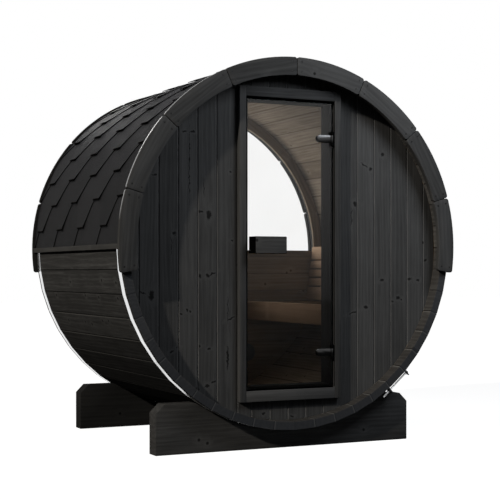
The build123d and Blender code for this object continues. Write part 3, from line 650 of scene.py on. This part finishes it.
stainEnd = -0.668  # the end walls are stained this deep
finishes = {
    "stave": woodFinish("staveWood", "stave", bare=("radius", 0.9615), shade=1.1, inner=0.9),
    "fascia": woodFinish("fasciaWood", "fascia", shade=0.94),
    "fasciaRim": woodFinish("fasciaRimWood", "fascia", gloss=0.5, sheen=0.16, index=2.2, varnished=True),
    "leftBoards": woodFinish("leftBoardWood", "z", "island", ("front", stainEnd), leftKnots),
    "rightBoards": woodFinish("rightBoardWood", "z", "island", ("front", stainEnd), rightKnots),
    # lighter copy for the groove arrises: painted highlight
    "arrisHighlight": woodFinish("arrisPaintedHighlight", "z", shade=1.8),
    # the bare inner side is painted lighter than the other bare wood: painted light
    "rearBoards": woodFinish("rearBoardWood", "x", "island", ("rear", stainEnd), inner=1.35),
    "upright": woodFinish("uprightWood", "z"),
    "level": woodFinish("levelWood", "x"),
    # darker copy of the wood: painted shade on the rear cradle and the rear ring
    "shadedWood": woodFinish("paintedShadeWood", "x", shade=0.34),
    "lengthwise": woodFinish("lengthwiseWood", "y"),
    # the bare inner side is painted lighter: painted light
    "ring": woodFinish("windowRingWood", "fascia", bare=("rear", stainEnd), inner=1.3),
    "rail": woodFinish("windowRailWood", "x", bare=("rear", stainEnd)),
    "bench": woodFinish("benchWood", "y", "island", "all"),
    # the seat boards are painted much darker: painted shade
    "seat": woodFinish("seatPaintedShadeWood", "y", "island", "all", inner=0.18),
    "benchUpright": woodFinish("benchUprightWood", "z", bare="all"),
    "benchCross": woodFinish("benchCrossWood", "x", bare="all"),
    # near-black, for the handle's left end and its backplate
    "nearBlack": coatFinish("handleNearBlack", grey(0.0004), grey(0.0018), 0.7, 0.9, 420.0, 0.0),
    "shingle": shingleFinish(),
    "cutEdgeAndShadow": cutEdgeAndShadowFinish(),
    "hoop": metalFinish(
        "hoopSteel", (0.62, 0.63, 0.64, 1), (0.86, 0.87, 0.88, 1), 0.16, 0.34, (30.0, 900.0, 30.0)
    ),
    "hinge": metalFinish(
        "hingeBlackChrome", grey(0.022), grey(0.062), 0.12, 0.24, (300.0, 300.0, 20.0)
    ),
    "screw": metalFinish("screwSteel", grey(0.010), grey(0.035), 0.40, 0.60, (300.0, 300.0, 300.0)),
    "vent": coatFinish("ventCoat", (0.13, 0.15, 0.17, 1), (0.22, 0.25, 0.28, 1), 0.35, 0.5, 600.0, 0.4),
    "rubberAndShade": coatFinish("sealRubberAndShade", grey(0.0008), grey(0.004), 0.6, 0.8, 300.0, 0.0),
    "doorPane": paneFinish(
        "bronzePane", (0.92, 0.91, 0.90, 1), grey(0.98), (0.06, 0.056, 0.052, 1), 1.3, shaded=True
    ),
    "windowPane": paneFinish("clearPane", (0.95, 0.96, 0.96, 1), grey(0.99), grey(0.6), 1.12),
    "paneEdge": coatFinish(
        "paneEdge", (0.012, 0.016, 0.016, 1), (0.030, 0.036, 0.036, 1), 0.25, 0.4, 200.0, 0.1
    ),
}
print("finishes ready,", len(finishes))

repaint(finishes["stave"], *(n for n in nodes if n.startswith("staves_")))
repaint(finishes["hoop"], "front_hoop", "rear_hoop")


# roof: one tab is modelled flat, rolled to the barrel and copied along each course
roof = {
    "pitch": 0.387,
    "flat": 0.098,  # lower edge of a tab
    "thick": 0.004,
    "seatRadius": 1.00595,
    "step": math.radians(8.55),
    "firstRow": math.radians(5.9),
    "rows": range(-2, 10),  # the first two end behind the eaves batten
    "oddPlace": 0.255,
    "evenPlace": 0.0615,
    "battenTop": 0.0032,
    "cuts": (0.25, 0.5, 0.75, 1.33, 1.66),  # in heights of a course, for the bend
    "curl": ((0.0, 0.0045), (0.25, 0.0012)),  # the free end stands off a little
    "shadowStrip": 0.008,  # painted shadow: a black strip hung under the free end
    "smooth": 25,
}


def startSheet(name, tall, wide, middle=0.0):  # upright, facing +X
    dropPicks()
    bpy.ops.mesh.primitive_plane_add(size=1, location=(0, 0, middle), rotation=(0, math.pi / 2, 0))
    sheet = called(bpy.context.object, name)
    sheet.scale = (tall, wide, 1)
    settle(sheet)
    return sheet


def thicken(sheet, thick, tilt, lift):  # tilted to lie on the next one
    finishWith(sheet, "SOLIDIFY", thickness=thick, offset=1.0, material_offset_rim=1)
    sheet.rotation_euler = tilt
    sheet.location = (lift, 0, 0)
    settle(sheet)


def rollTo(sheet, radius, angle):
    finishWith(sheet, "SIMPLE_DEFORM", deform_method="BEND", deform_axis="Y", angle=-angle)
    sheet.location = (radius, 0, 0)
    settle(sheet)


def modelTab():
    s = roof
    rise = s["step"] * (s["seatRadius"] + s["thick"] * 2)
    wide = s["pitch"] - s["flat"]
    tab = startSheet("shingleTab", rise, wide, rise / 2)
    editEdges(tab, lambda a, b: max(a.z, b.z) < rise * 0.1)  # lower edge
    bpy.ops.transform.resize(value=(1, s["flat"] / wide, 1), center_override=(0, 0, 0))
    pullOut((0, 0, -s["shadowStrip"]))
    editEdges(tab, lambda a, b: min(a.z, b.z) > rise * 0.9)  # upper edge, under the next course
    pullOut((0, 0, rise))
    for side in (-1, 1):
        editEdges(tab, lambda a, b: min(a.y * side, b.y * side) > wide * 0.45 and abs(a.z - b.z) > rise * 0.5)
        pullOut((0, side * s["flat"] / 2, 0))
    for share in s["cuts"]:
        bpy.ops.mesh.select_all(action="SELECT")
        bpy.ops.mesh.bisect(plane_co=(0, 0, rise * share), plane_no=(0, 0, 1))
    bpy.ops.mesh.select_all(action="SELECT")
    bpy.ops.mesh.remove_doubles(threshold=0.0001)
    bpy.ops.mesh.normals_make_consistent(inside=False)
    for share, lift in s["curl"]:
        editEdges(tab, lambda a, b: max(abs(a.z - rise * share), abs(b.z - rise * share)) < rise * 0.06)
        bpy.ops.transform.translate(value=(lift, 0, 0))
    bpy.ops.object.mode_set(mode="OBJECT")
    # the strip below the lower edge takes the black finish: painted shadow
    dressWhere(tab, finishes["shingle"], finishes["cutEdgeAndShadow"], lambda c, n: c.z < 0)
    thicken(tab, s["thick"], (0, -math.atan2(s["thick"], rise), 0), s["thick"] * 2)
    heights = [v.co.z for v in tab.data.vertices]
    rollTo(tab, s["seatRadius"], (max(heights) - min(heights)) / s["seatRadius"])
    return tab


def layCourses(name, tab, side):
    s, pitch = roof, roof["pitch"]
    end = barrel["staveReach"] + pitch / 2
    tabs = []
    for row in s["rows"]:
        turn = s["firstRow"] + s["step"] * row
        place = s["oddPlace"] if row % 2 == 0 else s["evenPlace"]
        place -= pitch * math.ceil((place + end) / pitch)
        while place < end:
            if place > -end:
                other = twin(tab)
                other.rotation_euler = (0, -side * turn, 0)
                other.scale = (side, 1, 1)
                other.location = (0, place, axisHeight)
                tabs.append(other)
            place += pitch
    settle(*tabs)
    cover = gather(name, tabs)
    editAll(cover)
    bpy.ops.mesh.normals_make_consistent(inside=False)
    bpy.ops.object.mode_set(mode="OBJECT")
    trimEnds(cover)
    cutOff(cover, (0, 0, 0), (-side, 0, 0))
    cutOff(cover, (0, 0, axisHeight + s["battenTop"]), (0, 0, -1))
    return smoothed(cover, s["smooth"])


shingleTab = modelTab()
for side, label in ((-1, "left"), (1, "right")):
    cover = layCourses("roofCover" + label.title(), shingleTab, side)
    seat(cover, "cabin", "roof_shingle", "roof_shingles_" + label)
bpy.data.objects.remove(shingleTab)
print("roof courses laid")

ridge = {
    "halfWide": math.radians(6),
    "long": 0.250,
    "show": 0.191,
    "seatRadius": 1.0155,
    "thick": 0.003,
    "cuts": 7,
}


def modelRidge():
    s, reach = ridge, barrel["staveReach"]
    wide = 2 * s["halfWide"] * s["seatRadius"]
    cap = startSheet("ridgeCap", wide, s["long"])
    editEdges(cap, lambda a, b: abs(a.z - b.z) > wide / 2)
    bpy.ops.mesh.subdivide(number_cuts=s["cuts"])
    bpy.ops.mesh.select_all(action="SELECT")
    bpy.ops.mesh.normals_make_consistent(inside=False)
    bpy.ops.object.mode_set(mode="OBJECT")
    thicken(cap, s["thick"], (0, 0, math.atan2(s["thick"], s["show"])), s["thick"] * 0.7)  # front end lifted
    rollTo(cap, s["seatRadius"], 2 * s["halfWide"])
    caps = []
    for k in range(int(2 * reach / s["show"]) + 2):
        other = twin(cap)
        other.rotation_euler = (0, -math.pi / 2, 0)
        other.location = (0, -reach + s["long"] / 2 + s["show"] * k, axisHeight)
        caps.append(other)
    settle(*caps)
    bpy.data.objects.remove(cap)
    cover = gather("ridgeCaps", caps)
    trimEnds(cover)
    return smoothed(cover, roof["smooth"])


ridgeCaps = modelRidge()
dress(ridgeCaps, finishes["shingle"], finishes["cutEdgeAndShadow"])
seat(ridgeCaps, "cabin", "roof_shingle", "roof_ridge")
print("ridge capped")


# end walls of grooved boards, trimmed to the barrel
boards = {
    "pitch": 0.111,
    "firstJoint": 0.4355,
    "rearTop": -0.0454,
    "gap": 0.0012,
    "groove": 0.0046,  # chamfer beside a joint
    "tongue": 0.006,
    "cheek": 0.0128,
    "sidePlay": 0.0003,  # of the tongue in its groove
    "deepPlay": 0.001,
    "narrowest": 0.012,
}
doorway = {"halfWide": 0.3135, "top": 0.862, "foot": -0.846, "play": 0.0004}


def shift(line, length):
    return tuple(length if k == line else 0.0 for k in range(3))


def boardWall(name, spans, front, back, upright, levels):
    # spans: where each board starts and ends; levels: the other two ends
    b = boards
    line, other = (2, 0) if upright else (0, 2)
    made = []
    for start, end in spans:
        start, end = start + b["gap"] / 2, end - b["gap"] / 2
        if upright:
            low, high = (start, front, axisHeight + levels[0]), (end, back, axisHeight + levels[1])
        else:
            low, high = (levels[0], front, axisHeight + start), (levels[1], back, axisHeight + end)
        board = startBlock("wallBoard", low, high)
        editEdges(board, lambda p, q: abs(p[line] - q[line]) > 0.01 and abs(p[other] - q[other]) < 0.001)
        bpy.ops.mesh.bevel(offset=b["groove"], segments=1)
        editFaces(board, lambda c, n: n[other] > 0.99)  # tongue on one edge, groove in the other
        bpy.ops.mesh.inset(thickness=b["cheek"])
        pullOut(shift(other, b["tongue"]))
        editFaces(board, lambda c, n: n[other] < -0.99)
        bpy.ops.mesh.inset(thickness=b["cheek"] - b["sidePlay"])
        pullOut(shift(other, b["tongue"] + b["deepPlay"]))
        bpy.ops.object.mode_set(mode="OBJECT")
        made.append(board)
    wall = gather(name, made)
    rim = startRod(
        "wallRim", barrel["wallRadius"], 0.4, 256, (0, (front + back) / 2, axisHeight), (math.pi / 2, 0, 0)
    )
    finishWith(wall, "BOOLEAN", operation="INTERSECT", object=rim, solver="EXACT")
    bpy.data.objects.remove(rim)
    return wall


def boardSpans(first, last, joint):
    cuts = [first] + [joint + boards["pitch"] * k for k in range(-30, 31)] + [last]
    cuts = sorted(c for c in cuts if first <= c <= last)
    spans = [(a, b) for a, b in zip(cuts, cuts[1:]) if b - a > boards["narrowest"]]
    spans[0] = (first, spans[0][1])
    spans[-1] = (spans[-1][0], last)
    return spans


face, back = -barrel["wallFace"], -barrel["wallBack"]
edge, reach, joint = doorway["halfWide"] + doorway["play"], barrel["wallRadius"], boards["firstJoint"]
# the narrow strip beside the frame belongs to the first whole board
leftSpans = [s for s in boardSpans(-reach, -edge, -joint) if s[1] <= -joint + 0.001] + [(-joint, -edge)]
rightSpans = [(edge, joint)] + [s for s in boardSpans(edge, reach, joint) if s[0] >= joint - 0.001]
middleSpans = boardSpans(-edge, edge, joint)
overDoor = (doorway["top"] + doorway["play"], reach)
underDoor = (-reach, doorway["foot"] - doorway["play"])
wallPieces = [
    ("frontBoardsLeft", leftSpans, (-reach, reach), "leftBoards", "front_wall_left"),
    ("frontBoardsRight", rightSpans, (-reach, reach), "rightBoards", "front_wall_right"),
    ("frontBoardsOver", middleSpans, overDoor, "rightBoards", "front_wall_over_door"),
    ("frontBoardsUnder", middleSpans, underDoor, "rightBoards", "front_wall_under_door"),
]
for name, spans, levels, finish, node in wallPieces:
    wall = boardWall(name, spans, face, back, True, levels)
    dressWhere(  # the arrises beside the grooves are painted lighter: painted highlight
        wall, finishes[finish], finishes["arrisHighlight"], lambda c, n: 0.5 < abs(n.x) < 0.9 and n.y < -0.5
    )
    seat(wall, "cabin", "stained_wood", node)
rearSpans = boardSpans(-reach, boards["rearTop"], boards["rearTop"])
rearBoards = boardWall("rearBoards", rearSpans, -back, -face, False, (-reach, reach))
dress(rearBoards, finishes["rearBoards"])
seat(rearBoards, "cabin", "stained_wood", "rear_wall_lower")
print("end walls boarded")


# trim rings with countersunk screws
trim = {"face": 0.791, "ease": 0.0022, "segments": 8, "rimFrom": 1.018}
screws = {
    "head": 0.0042,
    "headThick": 0.0012,
    "sink": 0.0055,
    "deep": 0.0022,
    "sides": 14,
    "radii": (0.948, 1.002),
    "fromEnd": math.radians(1.7),
}


def modelScrew(outward):  # a head with a dished middle
    s = screws
    screw = startRod("screw", s["head"], s["headThick"], s["sides"], (0, 0, 0), (math.pi / 2, 0, 0))
    editFaces(screw, lambda c, n: n.y * outward > 0.9)
    bpy.ops.mesh.inset(thickness=s["head"] * 0.45, depth=0.0003)
    bpy.ops.mesh.inset(thickness=s["head"] * 0.1, depth=-0.0006)
    bpy.ops.object.mode_set(mode="OBJECT")
    return screw


def trimRing(name, node, outward):
    s = screws
    ring = softCopy(name, node, trim["ease"])
    frontFace = outward * trim["face"]
    sinks, heads = [], []
    for k in range(trim["segments"]):
        start = barrel["fasciaStart"] + barrel["fasciaStep"] * k
        for turn in (start + s["fromEnd"], start + barrel["fasciaStep"] - s["fromEnd"]):
            for radius in s["radii"]:
                spot = (radius * math.cos(turn), frontFace, axisHeight + radius * math.sin(turn))
                sinks.append(startRod("sink", s["sink"], s["deep"] * 2, s["sides"], spot, (math.pi / 2, 0, 0)))
                heads.append((spot, turn))
    cutter = gather("sinks", sinks)
    finishWith(ring, "BOOLEAN", operation="DIFFERENCE", object=cutter, solver="EXACT")
    bpy.data.objects.remove(cutter)
    screw = modelScrew(outward)
    copies = []
    for spot, turn in heads:
        other = twin(screw)
        other.location = (spot[0], frontFace - outward * (s["deep"] - s["headThick"] / 2), spot[2])
        other.rotation_euler = (0, turn * 7, 0)
        copies.append(other)
    bpy.data.objects.remove(screw)
    settle(*copies)
    screwSet = gather(name + "Screws", copies)

    def apart(c, n):  # the rim, and the forward faces of the rear ring
        out = Vector((c.x, 0, c.z - axisHeight))
        onRim = out.length > trim["rimFrom"] and n.dot(out.normalized()) > 0.8
        return onRim or (outward > 0 and n.y < -0.5)

    # the rear ring's rim and forward faces take the darker copy: painted shade
    dressWhere(ring, finishes["fascia"], finishes["fasciaRim" if outward < 0 else "shadedWood"], apart)
    dress(screwSet, finishes["screw"])
    seat(ring, "cabin", "stained_wood", node)
    seat(screwSet, "cabin", "hoop_steel")


trimRing("frontTrim", "front_fascia", -1)
trimRing("rearTrim", "rear_fascia", 1)
print("trim rings screwed")


# eased pieces: door frame, battens, cradles, handle, window frame, bench, vents
eased = [
    ("jambLeft", "door_jamb_left", 0.0016, "upright", "cabin", "stained_wood"),
    ("jambRight", "door_jamb_right", 0.0016, "upright", "cabin", "stained_wood"),
    ("frameHead", "door_head", 0.0016, "level", "cabin", "stained_wood"),
    ("frameSill", "door_sill", 0.0016, "level", "cabin", "stained_wood"),
    ("eavesLeft", "eaves_batten_left", 0.002, "lengthwise", "cabin", "stained_wood"),
    ("eavesRight", "eaves_batten_right", 0.002, "lengthwise", "cabin", "stained_wood"),
    ("cradleFront", "front_cradle", 0.003, "level", "cabin", "stained_wood"),
    # the rear cradle takes the darker copy: painted shade
    ("cradleRear", "rear_cradle", 0.003, "shadedWood", "cabin", "stained_wood"),
    ("handleBlock", "door_handle", 0.0018, "level", "door", "stained_wood"),
    ("handlePlate", "handle_backplate", 0.0018, "nearBlack", "door", "inner_wood"),
    ("windowRing", "rear_window_ring", 0.0016, "ring", "cabin", "stained_wood"),
    ("windowRail", "rear_window_rail", 0.0016, "rail", "cabin", "stained_wood"),
    ("benchFront", "bench_fascia", 0.003, "bench", "cabin", "inner_wood"),
    ("benchSeat", "bench_seat", 0.003, "seat", "cabin", "inner_wood"),
    ("benchBearers", "bench_bearers", 0.002, "benchCross", "cabin", "inner_wood"),
    ("backSlats", "backrest_slats", 0.003, "bench", "cabin", "inner_wood"),
    ("backUprights", "backrest_uprights", 0.002, "benchUpright", "cabin", "inner_wood"),
    ("ventInside", "vent_inside", 0.0014, "vent", "cabin", "vent_metal"),
    ("ventOutside", "vent_outside", 0.0014, "vent", "cabin", "vent_metal"),
]
for name, node, ease, finish, body, slot in eased:
    piece = softCopy(name, node, ease)
    dress(piece, finishes[finish])
    if name == "handleBlock":
        # the left end of the handle is near-black
        dressWhere(piece, finishes[finish], finishes["nearBlack"], lambda c, n: n.x < -0.8)
    seat(piece, body, slot, node)
print("arrises eased")


# hinges and hoop screws
hardware = {
    "noseEdge": 0.166,
    "nose": 0.0165,
    "screwTurn": math.radians(-48.25),
    "rodRadius": 1.0335,
    "rod": 0.0062,
    "rodPlace": 0.7185,
}
clamps = softCopy(
    "hingeClamps", "hinge_clamps", 0.0018, 3,
    (lambda a, b: max(a.x, b.x) < hardware["noseEdge"] and abs(a.y - b.y) > 0.002, hardware["nose"]),
)
dress(clamps, finishes["hinge"])
seat(clamps, "door", "hinge_chrome", "hinge_clamps")
plates = softCopy("hingePlates", "hinge_plates", 0.0008)
# the hinge plates take the same black finish: painted shade in the rebate
dress(plates, finishes["rubberAndShade"])
seat(plates, "cabin", "hinge_chrome", "hinge_plates")


def offRod(centre, rodPlace):  # lugs and nuts, as against the rod through them
    out = Vector((math.cos(hardware["screwTurn"]), 0, math.sin(hardware["screwTurn"])))
    lift = (centre - Vector((0, 0, axisHeight))).dot(out) - hardware["rodRadius"]
    return math.hypot(lift, centre.y - rodPlace) >= hardware["rod"]


for label, rodPlace in (("front", -hardware["rodPlace"]), ("rear", hardware["rodPlace"])):
    piece = softCopy(label + "HoopScrew", label + "_tensioner", 0.0007)
    dressWhere(piece, finishes["hoop"], finishes["screw"], lambda c, n: offRod(c, rodPlace))
    seat(piece, "cabin", "hoop_steel", label + "_tensioner")
print("hardware fitted")


# panes with darker ground edges
panes = [
    ("doorPane", "door_glass", "door", "door_glass"),
    ("windowPane", "rear_window_glass", "cabin", "window_glass"),
]
for name, node, body, slot in panes:
    pane = softCopy(name, node, 0.0008, 1)
    if name == "windowPane":  # or the view through the half-moon sways
        pickOnly(pane)
        bpy.ops.mesh.customdata_custom_splitnormals_clear()
        bpy.ops.object.shade_flat()
    dressWhere(pane, finishes[name], finishes["paneEdge"], lambda c, n: abs(n.y) <= 0.99)
    seat(pane, body, slot, node)
print("panes set")


# rubber seal on the door stops and in the rebate, partly painted shade: the black bars in the gap above the
# pane and along the rebate sides stand in for shadow
seal = {
    "stop": (0.2552, 0.2622),  # strip on the face of each stop
    "side": (0.2722, 0.2742),  # strip on the side of the rebate, black: painted shade
    "stopDepth": (-0.6965, -0.6886),
    "sideDepth": (-0.7190, -0.6980),
    "hingeSideDepth": (-0.7190, -0.7115),
    # black bar in the gap above the pane: painted shade
    "headLevels": (0.7970, 0.8084),
    "headDepth": (-0.7030, -0.6886),
    "sillLevels": (-0.7884, -0.7815),
    "hingeLevels": (0.598, -0.590),
    "hingeHalf": 0.0415,
    "easeShare": 0.25,
    "mostEase": 0.002,
}


def doorSeal():
    s = seal
    foot, top = s["sillLevels"][1], s["headLevels"][0]
    (upper, lower), half = s["hingeLevels"], s["hingeHalf"]
    (stopIn, stopOut), (sideIn, sideOut) = s["stop"], s["side"]
    bars = [
        (-sideOut, sideOut, s["headDepth"], s["headLevels"]),
        (-sideOut, sideOut, s["stopDepth"], s["sillLevels"]),
        (-stopOut, -stopIn, s["stopDepth"], (foot, top)),
        (stopIn, stopOut, s["stopDepth"], (foot, top)),
        (-sideOut, -sideIn, s["sideDepth"], (foot, top)),
    ]
    for run in ((foot, lower - half), (lower + half, upper - half), (upper + half, top)):  # between the hinges
        bars.append((sideIn, sideOut, s["hingeSideDepth"], run))
    made = []
    for x0, x1, depth, levels in bars:
        low, high = ((x, y, axisHeight + z) for x, y, z in zip((x0, x1), depth, levels))
        bar = startBlock("sealBar", low, high)
        ease = min(x1 - x0, levels[1] - levels[0]) * s["easeShare"]
        finishWith(bar, "BEVEL", width=min(ease, s["mostEase"]), segments=2)
        made.append(bar)
    return smoothed(gather("doorSeal", made))


rubberAndShade = doorSeal()
stopFrom, stopTo = seal["stop"][0] - 0.001, seal["stop"][1] + 0.001
dressWhere(  # the strips on the stops are painted over
    rubberAndShade, finishes["rubberAndShade"], finishes["upright"], lambda c, n: stopFrom < abs(c.x) < stopTo
)
seat(rubberAndShade, "cabin", "stained_wood")
print("seal fitted")


# floor, light, camera
studio = {
    "floorSize": 60,
    "floorColour": (0.25, 0.25, 0.25, 1),
    "floorDull": (0.05, 0.05, 0.05, 1),  # as the sauna is lit by it
    "floorGlow": 0.915,
    "floorBehind": (-1.4, -0.2),  # mirrored bright from here back, faintly far in front
    "floorFront": (-2.0, -12.0, 0.0, 0.12),
    "ambient": 0.09,
    "ambientColour": (0.95, 1.0, 1.09, 1),
    "skyRise": (-0.1, 0.9),
    "skyShares": (0.3, 2.0),
    "skyBehind": (-0.3, 0.1),  # white backdrop behind
    "skyFront": (-0.12, 0.15),  # towards the camera dim up to the height of the door
    "keyPlace": (-4, -4, 6),
    "keyWay": (0.824, 0.298, -0.482),
    "keyStrength": 2.5,
    "keyColour": (1.0, 0.93, 0.82),
    "keySoft": math.radians(2.0),
    "fillPlace": (1.1, -2.35, 3.0),
    "fillTarget": (0.0, -0.5, 1.2),
    "fillPower": 50.0,
    "fillSize": 1.3,
    "fillColour": (0.95, 1.0, 1.06),
    "windowPlace": (-0.1, 1.35, 1.75),
    "windowTarget": (0.1, -0.6, 1.35),
    "windowPower": 28.0,
    "windowSize": 1.2,
    "windowColour": (1.0, 0.99, 0.97),
}


def seenRays(tree):
    path = put(tree, "LightPath").outputs
    return path["Is Camera Ray"], calc(tree, "MAXIMUM", path["Is Glossy Ray"], path["Is Transmission Ray"])


def floorFinish():
    s = studio
    finish, tree, shader = newFinish("paleFloor")
    fill(tree, shader, {"Base Color": s["floorColour"], "Roughness": 1.0, "Specular IOR Level": 0.0})
    dull = put(tree, "BsdfDiffuse", {"Color": s["floorDull"]})
    glow = put(tree, "Emission", {"Color": grey(1), "Strength": s["floorGlow"]})
    bright = put(tree, "AddShader", {0: shader.outputs[0], 1: glow.outputs[0]})
    seen, mirrored = seenRays(tree)
    y = axes(tree, objectPlace(tree))[1]
    backdrop = calc(tree, "MAXIMUM", between(tree, y, *s["floorBehind"]), between(tree, y, *s["floorFront"]))
    shown = calc(tree, "MAXIMUM", seen, calc(tree, "MULTIPLY", mirrored, backdrop))
    showShader(tree, put(tree, "MixShader", {0: shown, 1: dull.outputs[0], 2: bright.outputs[0]}))
    return finish


def studioWorld():
    s = studio
    world = bpy.data.worlds.new("studioWorld")
    world.use_nodes = True
    tree = world.node_tree
    way = axes(tree, put(tree, "TexCoord").outputs["Generated"])
    seen, mirrored = seenRays(tree)
    overhead = between(tree, way[2], *s["skyRise"], *(s["ambient"] * share for share in s["skyShares"]))
    behind, above = between(tree, way[1], *s["skyBehind"]), between(tree, way[2], *s["skyFront"])
    backdrop = calc(tree, "MAXIMUM", behind, above)
    strength = calc(tree, "MULTIPLY_ADD", mirrored, calc(tree, "SUBTRACT", backdrop, overhead), overhead)
    strength = calc(tree, "MULTIPLY_ADD", seen, calc(tree, "SUBTRACT", 1.0, strength), strength)
    whitened = calc(tree, "MAXIMUM", seen, mirrored)
    colour = blendColour(tree, whitened, s["ambientColour"], grey(1))
    fill(tree, tree.nodes["Background"], {"Color": colour, "Strength": strength})
    return world


dropPicks()
bpy.ops.mesh.primitive_plane_add(size=studio["floorSize"], location=(0, 0, 0))
floor = called(bpy.context.object, "studioFloor")
dress(floor, floorFinish())

scene = bpy.context.scene
scene.world = studioWorld()
dropPicks()
bpy.ops.object.light_add(type="SUN", location=studio["keyPlace"])
key = called(bpy.context.object, "keyLight")
key.rotation_euler = Vector(studio["keyWay"]).to_track_quat("-Z", "Y").to_euler()
key.data.energy = studio["keyStrength"]
key.data.angle = studio["keySoft"]
key.data.color = studio["keyColour"]
for label in ("fill", "window"):
    bpy.ops.object.light_add(type="AREA", location=studio[label + "Place"])
    lamp = called(bpy.context.object, label + "Light")
    aimed = Vector(studio[label + "Target"]) - Vector(studio[label + "Place"])
    lamp.rotation_euler = aimed.to_track_quat("-Z", "Y").to_euler()
    lamp.data.energy = studio[label + "Power"]
    lamp.data.size = studio[label + "Size"]
    lamp.data.color = studio[label + "Colour"]
    lamp.visible_camera = False
    lamp.visible_transmission = False

view = {"place": (-3.178, -6.743, 0.9695), "turn": math.radians(-25.91), "lens": 89.37, "shiftUp": 0.0428}
bpy.ops.object.camera_add(location=view["place"], rotation=(math.pi / 2, 0, view["turn"]))
camera = called(bpy.context.object, "photoCamera")
camera.data.lens = view["lens"]
camera.data.sensor_width = 36
camera.data.shift_y = view["shiftUp"]
scene.camera = camera
scene.view_settings.view_transform = "Standard"
dropPicks()

print("scene complete")
